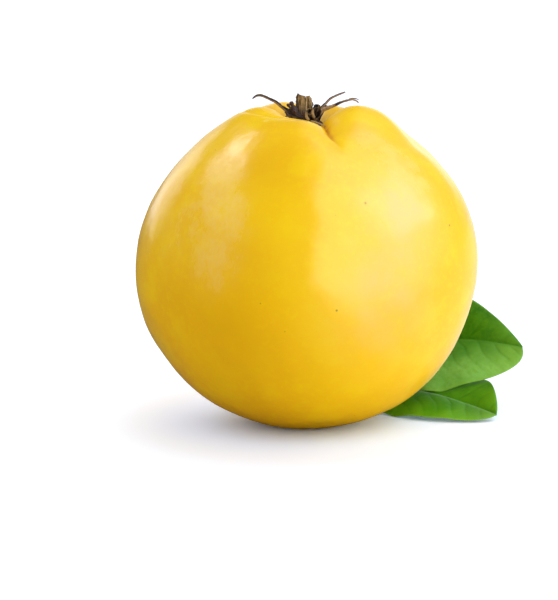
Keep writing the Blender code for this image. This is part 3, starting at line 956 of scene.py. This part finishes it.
def skin_marks(m, place, fine):
    """The strength of the dark specks and of the larger marks."""
    marks = m.specks(place, 6.5, 0.32, 0.4)
    for polar, azimuth, radius in MARKS:
        middle = tuple(skin_points(aim(polar, azimuth)))
        away = m.add("VectorMath", {0: place, 1: middle}, output="Value", operation="DISTANCE")
        away = m.math("ADD", away, m.times(fine, 0.3))
        marks = m.math("MAXIMUM", marks, m.step(away, 0.3 * radius, radius, 1.0, 0.0))
    return marks


def skin_bloom_and_sheen(m, place):
    """The strength of the downy bloom and its painted sheen, in fine strands."""
    downy = m.times(m.value("bloom"), m.step(m.noise(place, 5.0), 0.3, 0.7, 0.6, 1.4))
    strands = m.noise(m.stretched(place, 1.0, 1.0, 0.45), 0.7, 3.0, 0.6)
    return m.times(m.step(downy, 0.0, 1.2), m.step(strands, 0.3, 0.7, 0.45, 1.0))


def skin_material():
    m = Nodes(bpy.data.materials.new("quince_skin"))
    place = m.here()
    middle = m.noise(place, 9.0, 3.0, 0.55)
    fine = m.noise(place, 1.6, 4.0, 0.6)
    basin = m.value("basin")
    skin = m.mix(m.step(m.noise(place, 30.0, 2.0), 0.35, 0.65), DEEP_GOLD, GOLDEN)
    skin = m.over(skin, PALE_GOLD, m.step(middle, 0.45, 0.7), 0.85)
    skin = m.over(skin, PALEST_GOLD, m.step(fine, 0.48, 0.7), 0.4)
    # Deeper gold patches, partly uneven colour and partly painted shade.
    deeper = m.times(m.value("deeper"), m.step(middle, 0.2, 0.8, 0.7, 1.3))
    skin = m.mix(deeper, skin, DEEPEST_GOLD_AND_SHADE)
    # Paler, bluer gold under the right highlights: painted highlight.
    paler = m.times(m.value("paler"), m.step(middle, 0.25, 0.75, 0.4, 1.2))
    skin = m.mix(paler, skin, HIGHLIGHT_GOLD)
    bloom = skin_bloom_and_sheen(m, place)
    # The bloom is laid on as a pale veil: partly the down's own colour, partly painted sheen.
    skin = m.over(skin, DOWN_AND_SHEEN, bloom, 0.36)
    # Brown in the folds: painted shade.
    skin = m.mix(m.step(m.value("fold"), 0.15, 1.1, 0.0, 0.75), skin, FOLD_SHADE_BROWN)
    # Deeper orange in the basin: partly the skin's own colour round the calyx, partly painted shade of the
    # hollow.
    skin = m.over(skin, BASIN_GOLD_AND_SHADE, basin, 0.5)
    russet = m.times(m.step(basin, 0.6, 0.98), m.step(fine, 0.3, 0.75))
    skin = m.over(skin, RUSSET, russet, 0.75)
    hollow = m.times(m.value("hollow"), m.step(fine, 0.2, 0.8, 0.4, 1.0))
    skin = m.over(skin, HOLLOW_OLIVE, hollow, 0.85)
    marks = skin_marks(m, place, fine)
    skin = m.over(skin, MARK_BROWN, marks, 0.75)
    skin = m.over(skin, PORE_OLIVE, m.specks(place, 2.4, 0.16, 0.7), 0.22)
    return m.surface(
        Base_Color=skin,
        Roughness=m.step(m.math("ADD", bloom, basin), 0.0, 1.0, 0.23, 0.5),
        Normal=m.bumps((m.noise(place, 1.3), 0.035), (m.noise(place, 0.35, 2.0), 0.006), (marks, 0.05)),
        IOR=1.45,
        Specular_IOR_Level=0.4,
    )


def leaf_green(m, place, fine, net, back, middle, edge):
    """The top of a blade, with its veins, from the colours of its halves, with painted shade on the back half
    and at the base and painted light towards the front edge and the tip.
    """
    along = m.axis(place, "X")
    across = m.axis(place, "Y")
    patchy = m.step(m.noise(place, 7.0), 0.3, 0.7)
    # The front half lightens towards its edge as painted light, and the back half is darker as painted shade.
    front = m.mix(m.step(across, -2.0, -11.0), m.mix(patchy, *middle), m.mix(patchy, *edge))
    green = m.mix(m.step(across, -0.4, 0.3), front, m.mix(patchy, *back))
    # Darker towards the base, where the fruit's shadow falls: painted shadow.
    base = m.times(m.step(along, 34.0, 15.0, 0.0, 0.6), m.step(across, -12.0, -4.0))
    green = m.mix(base, green, BASE_SHADOW_GREEN)
    # Lighter towards the tip: painted light.
    tip = m.times(m.step(along, 26.0, 42.0, 0.0, 0.4), m.step(across, 0.5, -2.0, 0.3, 1.0))
    green = m.mix(tip, green, TIP_LIT_GREEN)
    green = m.over(green, FLECK_GREEN, m.step(fine, 0.4, 0.7), 0.35)
    green = m.over(green, NET_GREEN, net, 0.05)
    green = m.over(green, VEIN_GREEN, m.value("vein"), 0.3)
    green = m.over(green, MIDRIB_GREEN, m.value("midrib"), 0.2)
    return m.mix(m.step(m.value("margin"), 0.93, 1.0, 0.0, 0.5), green, MARGIN_GREEN)


def leaf_felt(m, place):
    """The pale downy underside of a blade, with its veins."""
    felt = m.mix(m.step(m.noise(place, 0.35, 4.0, 0.7), 0.3, 0.7), *FELT_GREENS)
    veins = m.math("MAXIMUM", m.value("vein"), m.value("midrib"))
    return m.over(felt, FELT_VEIN, veins, 0.6)


def leaf_material(name, back, middle, edge):
    """A green blade: its back half, darker as painted shade, and its front half from the midrib to the edge,
    lighter towards the edge as painted light, each as two colours.
    """
    m = Nodes(bpy.data.materials.new(name))
    place = m.on_blade(1 / MM, 1 / MM)
    fine = m.noise(place, 1.2)
    cells = {"Vector": place, "Scale": 1.0 / 0.85}
    walls = m.add("TexVoronoi", cells, output="Distance", feature="DISTANCE_TO_EDGE")
    net = m.step(walls, 0.02, 0.16, 1.0, 0.0)
    under = m.value("under")
    green = leaf_green(m, place, fine, net, back, middle, edge)
    green = m.mix(under, green, leaf_felt(m, place))
    green = m.mix(m.value("stalk"), green, m.mix(m.step(fine, 0.3, 0.7), *STALK_GREENS))
    return m.surface(
        Base_Color=green,
        Roughness=m.step(m.math("ADD", under, m.times(fine, 0.3)), 0.0, 1.2, 0.42, 0.8),
        Normal=m.bumps((m.math("SUBTRACT", 1.0, net), 0.005), (m.noise(place, 0.25, 2.0), 0.01)),
        IOR=1.45,
        Specular_IOR_Level=0.15,
    )


def dried_material(name, light, dark, black):
    """Withered brown tissue, streaked along the piece, from its light to its dark colour by its shade, with
    near-black painted shade on the inner side of its curls and in its darkest places.
    """
    m = Nodes(bpy.data.materials.new(name))
    streaks = m.noise(m.on_blade(2.2, 5.0), 1.0, 4.0, 0.65)
    grain = m.noise(m.here(), 0.35, 4.0, 0.7)
    blotches = m.noise(m.here(), 1.3, 3.0, 0.6)
    patchy = m.math("ADD", m.step(streaks, 0.3, 0.7, -0.35, 0.35), m.step(blotches, 0.3, 0.7, -0.3, 0.3))
    shade = m.math("ADD", m.value("shade"), patchy)
    brown = m.mix(m.step(shade, 0.0, 1.0), light, dark)
    # The darkest places turn near-black: painted shade in the calyx's hollows.
    brown = m.mix(m.step(shade, 0.75, 1.3), brown, black)
    # The inner side of each curl painted near-black: painted shade.
    brown = m.over(brown, black, m.value("inner"), 0.85)
    brown = m.over(brown, black, m.step(grain, 0.45, 0.7), 0.4)
    bump = m.bumps((streaks, 0.12), (grain, 0.05))
    rough = m.step(grain, 0.2, 0.8, 0.55, 0.9)
    return m.surface(Base_Color=brown, Roughness=rough, Normal=bump, Specular_IOR_Level=0.3)


def bark_material():
    m = Nodes(bpy.data.materials.new("quince_bark"))
    place = m.here()
    grain = m.noise(m.on_blade(160.0, 1600.0), 1.0, 4.0, 0.65)
    brown = m.mix(m.step(m.noise(place, 3.5), 0.35, 0.65), *BARK_BROWNS)
    brown = m.over(brown, BARK_FURROW, m.step(grain, 0.45, 0.7), 0.6)
    pores = m.specks(place, 1.7, 0.3, 0.6)
    brown = m.over(brown, BARK_PORE, pores, 0.8)
    brown = m.mix(m.value("bud"), brown, m.mix(m.step(grain, 0.3, 0.7), *BUD_BROWNS))
    brown = m.mix(m.value("cut"), brown, CUT_WOOD)
    bump = m.bumps((grain, 0.12), (pores, 0.12))
    return m.surface(Base_Color=brown, Roughness=0.78, Normal=bump, Specular_IOR_Level=0.4)


# The studio floor runs into the white backdrop.
FLOOR_SIZE = 14.0
# The floor's tint for the camera on the left and right, and near the fruit, whose yellow light it takes out.
FLOOR_SEEN = ((1.03, 1.10, 1.22), (0.95, 1.04, 1.3))
FLOOR_SEEN_NEAR = ((1.03, 1.24, 1.65), (0.95, 1.22, 1.95))
# The floor's tint as the skin's sheen shows it, on the left and right and in front on the right.
FLOOR_GLOSS = ((0.1, 0.1, 0.1), (0.8, 0.8, 0.8))
FLOOR_GLOSS_FRONT = (4.6, 4.6, 4.6)
# The tint of the light that it throws back, on the left and right.
FLOOR_BOUNCE = ((0.54, 0.44, 0.3), (1.15, 1.15, 1.15))


def floor_material():
    """White, with other tints for the camera, for the skin's sheen and for the light that it throws back."""
    m = Nodes(bpy.data.materials.new("studio_floor"))
    place = m.add("TexCoord", {}, output="Object")
    across = m.axis(place, "X")
    deep = m.axis(place, "Y")
    right = m.step(across, -0.06, 0.08)
    front = m.times(m.step(across, 0.0, 0.11), m.step(deep, -0.03, -0.2))
    bounce = m.mix(right, *FLOOR_BOUNCE)
    gloss = m.mix(m.step(across, 0.012, 0.08), *FLOOR_GLOSS)
    gloss = m.mix(front, gloss, FLOOR_GLOSS_FRONT)
    white = m.mix(m.add("LightPath", {}, output="Is Glossy Ray"), bounce, gloss)
    near = m.step(m.add("VectorMath", {0: place}, output="Value", operation="LENGTH"), 0.05, 0.026)
    seen = m.mix(near, m.mix(right, *FLOOR_SEEN), m.mix(right, *FLOOR_SEEN_NEAR))
    white = m.mix(m.add("LightPath", {}, output="Is Camera Ray"), white, seen)
    m.put(m.tree.nodes["Material Output"], "Surface", m.add("BsdfDiffuse", {"Color": white}))
    m.tree.nodes.remove(m.tree.nodes["Principled BSDF"])
    return m.owner


def build_stage():
    mesh = bpy.data.meshes.new("studio_floor")
    half = FLOOR_SIZE / 2
    corners = [(-half, -half, 0), (half, -half, 0), (half, half, 0), (-half, half, 0)]
    mesh.from_pydata(corners, [], [(0, 1, 2, 3)])
    mesh.materials.append(floor_material())
    floor = new_object("studio_floor", mesh)


# The light tent, as the skin's sheen shows it and as it lights the surfaces: (level on the left, added on the
# right, added in front on the right, added behind, where the right begins and is full, where behind does so).
TENT_GLOSS = (0.02, 0.45, 5.2, 0.9, (0.0, 0.17), (0.85, 0.97))
TENT_FILL = (0.77, 0.31, 0.30, 0.9, (-0.3, 0.1), (0.1, 0.9))
# Where the front begins and is full, and how much it leans towards the top.
TENT_FRONT = (-0.5, 0.5)
TENT_LEAN = 0.3


def tent_strength(w, to_right, away, front, levels):
    dark, side, bright, pale, right_edge, back_edge = levels
    tent = w.math("MULTIPLY_ADD", front, bright, side)
    tent = w.math("MULTIPLY_ADD", tent, w.step(to_right, *right_edge), dark)
    return w.math("MULTIPLY_ADD", w.step(away, *back_edge), pale, tent)


def build_world():
    """The light tent, seen by the surfaces, and plain white, seen by the camera."""
    world = bpy.data.worlds.new("studio")
    bpy.context.scene.world = world
    world.cycles.sampling_method = "NONE"
    w = Nodes(world)
    way = w.add("TexCoord", {}, output="Generated")
    to_right, away, up = (w.axis(way, letter) for letter in "XYZ")
    front = w.step(w.math("MULTIPLY_ADD", up, TENT_LEAN, w.times(away, -1.0)), *TENT_FRONT)
    gloss, fill = (tent_strength(w, to_right, away, front, levels) for levels in (TENT_GLOSS, TENT_FILL))
    glossy = w.add("LightPath", {}, output="Is Glossy Ray")
    seen = w.add("LightPath", {}, output="Is Camera Ray")
    tent = w.math("ADD", w.times(gloss, glossy), w.times(fill, w.math("SUBTRACT", 1.0, glossy)))
    background = w.tree.nodes["Background"]
    w.put(background, "Strength", w.math("MAXIMUM", tent, seen))
    w.put(background, "Color", (1.0, 1.0, 1.0, 1.0))


def around_fruit(azimuth, elevation, distance):
    """A place round the fruit's middle, and the rotation that looks back at it."""
    turn, rise = math.radians(azimuth), math.radians(elevation)
    away = Vector((math.sin(turn) * math.cos(rise), -math.cos(turn) * math.cos(rise), math.sin(rise)))
    middle = Vector((0.0, 0.0, GIRTH_HEIGHT * MM))
    return middle + away * distance, (-away).to_track_quat("-Z", "Y").to_euler()


# Soft lamps: (name, azimuth from the camera towards its right, elevation, width, height, radiance).
LAMP_DISTANCE = 0.6
LAMPS = (
    ("right_softbox", 84, 37, 0.38, 0.32, 3.5),
    ("left_high_softbox", -118, 51, 0.28, 0.12, 8.5),
    ("left_low_softbox", -139, 14, 0.34, 0.26, 1.6),
)


def build_lamps():
    """Softboxes that only give the skin its highlights; the tent gives the even light."""
    for name, azimuth, elevation, width, height, radiance in LAMPS:
        lamp = bpy.data.lights.new(name, "AREA")
        lamp.shape = "RECTANGLE"
        lamp.size = width
        lamp.size_y = height
        lamp.energy = radiance * math.pi * width * height
        obj = new_object(name, lamp)
        obj.location, obj.rotation_euler = around_fruit(azimuth, elevation, LAMP_DISTANCE)
        obj.visible_camera = False
        obj.visible_diffuse = False


# The camera looks at the fruit from a little above.
CAMERA_DISTANCE = 0.8
CAMERA_ELEVATION = 10
CAMERA_LENS = 170.9
CAMERA_SHIFT = (-0.0467, -0.0633)


def build_camera():
    data = bpy.data.cameras.new("camera")
    data.lens = CAMERA_LENS
    data.shift_x, data.shift_y = CAMERA_SHIFT
    data.clip_start = 0.01
    camera = new_object("camera", data)
    camera.location, camera.rotation_euler = around_fruit(0, CAMERA_ELEVATION, CAMERA_DISTANCE)
    bpy.context.scene.camera = camera


def build_quince():
    build_skin(skin_material())
    for name, greens in LEAF_LIT_AND_SHADED_GREENS.items():
        build_leaf(name, leaf_material(name + "_green", *greens))
    tan = dried_material("dried_sepal", (0.42, 0.29, 0.17), (0.09, 0.05, 0.03), (0.016, 0.008, 0.006))
    olive = dried_material("dried_fold", (0.45, 0.30, 0.13), (0.10, 0.06, 0.02), (0.018, 0.009, 0.005))
    dark = dried_material("dried_threads", (0.11, 0.055, 0.04), (0.03, 0.012, 0.01), (0.008, 0.003, 0.003))
    finishes = {"sepal_upright": olive, "sepal_front": olive}
    for name in SEPALS:
        build_sepal(name, finishes.get(name, tan))
    for number, spine in enumerate(STYLES, 1):
        build_thread(f"style_{number}", spine, STYLE_RADII, number, dark)
    for number, spine in enumerate(STAMENS, 1):
        radii = STUB_RADII if number == 1 else STAMEN_RADII
        build_thread(f"stamen_{number}", spine, radii, 10 + number, dark)
    build_cup(dark)
    build_twig(bark_material())


build_camera()
build_world()
build_lamps()
build_stage()
build_quince()
bpy.context.scene.view_settings.view_transform = "Standard"
